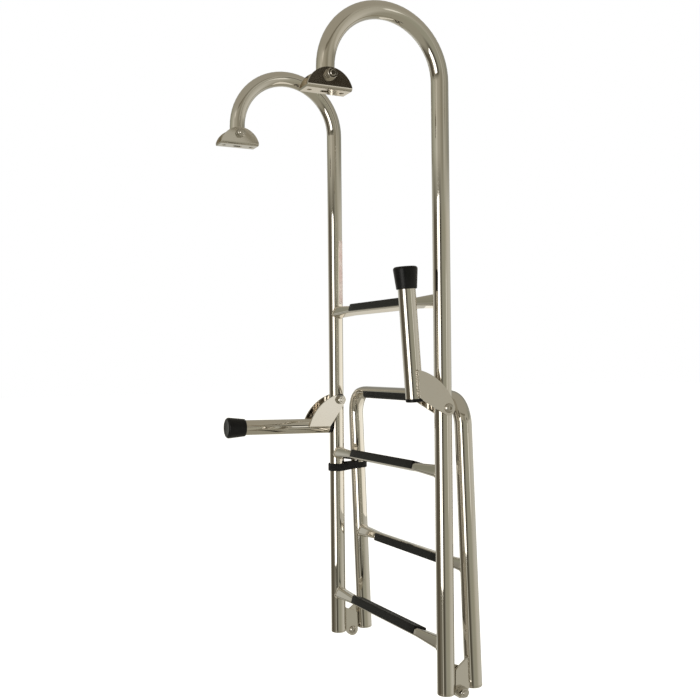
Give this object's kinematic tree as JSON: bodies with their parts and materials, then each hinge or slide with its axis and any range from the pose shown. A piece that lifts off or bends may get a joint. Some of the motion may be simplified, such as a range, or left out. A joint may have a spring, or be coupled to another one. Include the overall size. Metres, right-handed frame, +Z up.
{
  "type": "boat boarding ladder",
  "caption": "Tubular gunwale-hook boarding ladder with rubber-topped rungs, swing-down lower section, folding stand-off arms and swivelling deck brackets.",
  "frame": {"origin": "on the deck plane, midway between the undersides of the two deck brackets", "axes": "+Z up, -Y inboard over the deck, +Y towards the swimmer, +X to the right seen from on board; drawn with the lower section folded up, the left stand-off arm deployed and the right one folded"},
  "size_m": [0.4029, 0.2776, 0.9927],
  "materials": {
    "tube_steel": "polished stainless tube",
    "plate_steel": "buffed stainless sheet",
    "fastener_steel": "bright stainless fasteners",
    "rubber": "moulded black rubber",
    "strap_rubber": "black elastic strap",
    "label": "blank vinyl label"
  },
  "bodies": {
    "main_frame": {"rung_upper": "tube_steel", "rung_middle": "tube_steel", "rung_lower": "tube_steel", "tread_upper": "rubber", "tread_middle": "rubber", "tread_lower": "rubber", "storage_strap": "strap_rubber", "rail_label": "label", "rail_left": "tube_steel", "rail_end_cap_left": "tube_steel", "rail_hinge_tab_left": "plate_steel", "hinge_bolt_left": "fastener_steel", "hinge_locknut_left": "fastener_steel", "hinge_washers_left": "fastener_steel", "standoff_bolt_left": "fastener_steel", "standoff_nut_left": "fastener_steel", "standoff_washer_left": "fastener_steel", "rail_right": "tube_steel", "rail_end_cap_right": "tube_steel", "rail_hinge_tab_right": "plate_steel", "hinge_bolt_right": "fastener_steel", "hinge_locknut_right": "fastener_steel", "hinge_washers_right": "fastener_steel", "standoff_bolt_right": "fastener_steel", "standoff_nut_right": "fastener_steel", "standoff_washer_right": "fastener_steel"},
    "lower_section": {"lower_frame_tube": "tube_steel", "lower_frame_rung": "tube_steel", "lower_frame_tread": "rubber", "bottom_bar_tread": "rubber", "leg_end_cap_left": "tube_steel", "leg_hinge_tab_left": "plate_steel", "leg_end_cap_right": "tube_steel", "leg_hinge_tab_right": "plate_steel"},
    "standoff_left": {"standoff_tube_left": "tube_steel", "standoff_bumper_left": "rubber", "standoff_pad_left": "rubber", "standoff_cheek_outer_left": "plate_steel", "standoff_cheek_inner_left": "plate_steel"},
    "standoff_right": {"standoff_tube_right": "tube_steel", "standoff_bumper_right": "rubber", "standoff_pad_right": "rubber", "standoff_cheek_outer_right": "plate_steel", "standoff_cheek_inner_right": "plate_steel"},
    "deck_bracket_left": {"deck_bracket_left": "plate_steel", "bracket_bolt_left": "fastener_steel", "bracket_nut_left": "fastener_steel", "bracket_washer_left": "fastener_steel"},
    "deck_bracket_right": {"deck_bracket_right": "plate_steel", "bracket_bolt_right": "fastener_steel", "bracket_nut_right": "fastener_steel", "bracket_washer_right": "fastener_steel"}
  },
  "joints": [
    {"name": "lower_fold", "type": "hinge", "parent": "main_frame", "child": "lower_section", "pos_m": [0, 0.207, -0.845], "axis": [-1, 0, 0], "range_deg": [0, 182], "deforming": ["storage_strap"]},
    {"name": "standoff_left_swing", "type": "hinge", "parent": "main_frame", "child": "standoff_left", "pos_m": [-0.178, 0.182, -0.435], "axis": [-1, 0, 0], "range_deg": [-1, 93]},
    {"name": "standoff_right_swing", "type": "hinge", "parent": "main_frame", "child": "standoff_right", "pos_m": [0.178, 0.182, -0.435], "axis": [-1, 0, 0], "range_deg": [-86, 8]},
    {"name": "bracket_left_tilt", "type": "hinge", "parent": "main_frame", "child": "deck_bracket_left", "pos_m": [-0.178, 0, 0.019], "axis": [1, 0, 0], "range_deg": [-30, 30]},
    {"name": "bracket_right_tilt", "type": "hinge", "parent": "main_frame", "child": "deck_bracket_right", "pos_m": [0.178, 0, 0.019], "axis": [1, 0, 0], "range_deg": [-30, 30]}
  ]
}
